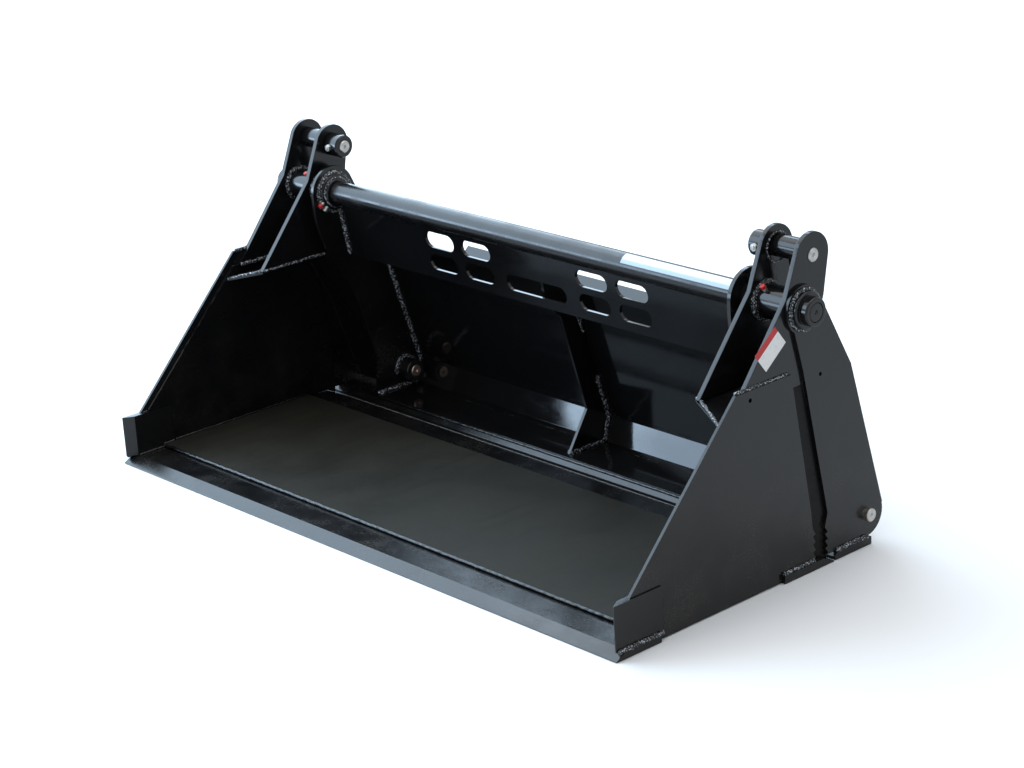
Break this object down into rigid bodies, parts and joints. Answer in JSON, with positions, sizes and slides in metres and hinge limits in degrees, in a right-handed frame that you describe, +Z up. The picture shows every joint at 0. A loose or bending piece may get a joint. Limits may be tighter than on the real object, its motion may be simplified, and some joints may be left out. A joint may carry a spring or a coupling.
{
  "type": "skid steer combination bucket",
  "caption": "Black steel combination bucket for a skid steer loader: a clam with cutting edges hinged on a rear frame and swung by cylinders in its ends.",
  "frame": {"origin": "middle of the footprint of the whole bucket, on the ground it stands on", "axes": "+X along the cutting edge to the right end seen from the front, +Y from the cutting edge to the loader, +Z up"},
  "size_m": [1.881, 0.934, 0.786],
  "materials": {
    "paint": "gloss black enamel",
    "floor_paint": "dusty, semi-matt black enamel",
    "zinc": "zinc-plated steel",
    "copper_pin": "bright turned steel with a coppery end face",
    "chrome": "hard chrome"
  },
  "bodies": {
    "rear_frame": {"back_plate": "paint", "slot_plate": "paint", "cross_tube": "paint", "frame_rear_edge": "paint", "centre_gusset": "paint", "frame_outer_plate_right": "paint", "frame_outer_plate_left": "paint", "frame_inner_plate_right": "paint", "frame_inner_plate_left": "paint", "cylinder_cover_right": "paint", "cylinder_cover_left": "paint", "outer_boss_right": "paint", "outer_boss_left": "paint", "inner_boss_right": "paint", "inner_boss_left": "paint", "pivot_pin_right": "paint", "pivot_pin_left": "paint", "lower_boss_right": "paint", "lower_boss_left": "paint", "keeper_bolt_right": "zinc", "keeper_bolt_left": "zinc", "lower_pin_right": "copper_pin", "lower_pin_left": "copper_pin", "mount_plate": "paint", "mount_lip": "paint", "mount_foot": "paint", "mount_rib_right": "paint", "mount_rib_left": "paint"},
    "clam": {"base_edge": "paint", "clam_rear_edge": "paint", "clam_floor": "floor_paint", "side_cutter_right": "paint", "side_cutter_left": "paint", "clam_side_plate_right": "paint", "clam_side_plate_left": "paint", "side_liner_right": "paint", "side_liner_left": "paint", "outer_lug_right": "paint", "outer_lug_left": "paint", "inner_lug_right": "paint", "inner_lug_left": "paint", "lug_shelf_right": "paint", "lug_shelf_left": "paint", "pivot_tube_right": "paint", "pivot_tube_left": "paint", "top_pin_right": "zinc", "top_pin_left": "zinc", "pin_collar_right": "paint", "pin_collar_left": "paint", "collar_bolt_right": "zinc", "collar_bolt_left": "zinc"},
    "barrel_right": {"cylinder_barrel_right": "paint", "cylinder_gland_right": "paint"},
    "barrel_left": {"cylinder_barrel_left": "paint", "cylinder_gland_left": "paint"},
    "rod_right": {"cylinder_rod_right": "chrome", "rod_eye_right": "paint"},
    "rod_left": {"cylinder_rod_left": "chrome", "rod_eye_left": "paint"}
  },
  "joints": [
    {"name": "clam_hinge", "type": "hinge", "parent": "rear_frame", "child": "clam", "pos_m": [0, 0.157, 0.621], "axis": [-1, 0, 0], "range_deg": [0, 50]},
    {"name": "barrel_tilt_right", "type": "hinge", "parent": "rear_frame", "child": "barrel_right", "pos_m": [0.83835, 0.353, 0.076], "axis": [-1, 0, 0], "range_deg": [0, 5.26]},
    {"name": "rod_slide_right", "type": "slide", "parent": "barrel_right", "child": "rod_right", "axis": [0, -0.2242, 0.9745], "range_m": [-0.0845, 0]},
    {"name": "barrel_tilt_left", "type": "hinge", "parent": "rear_frame", "child": "barrel_left", "pos_m": [-0.83835, 0.353, 0.076], "axis": [-1, 0, 0], "range_deg": [0, 5.26]},
    {"name": "rod_slide_left", "type": "slide", "parent": "barrel_left", "child": "rod_left", "axis": [0, -0.2242, 0.9745], "range_m": [-0.0845, 0]}
  ],
  "couplings": [
    {"joint": "barrel_tilt_right", "follows": "clam_hinge", "ratio": 0.10504},
    {"joint": "barrel_tilt_left", "follows": "clam_hinge", "ratio": 0.10504},
    {"joint": "rod_slide_right", "follows": "clam_hinge", "m_per_rad": -0.09648},
    {"joint": "rod_slide_left", "follows": "clam_hinge", "m_per_rad": -0.09648}
  ]
}
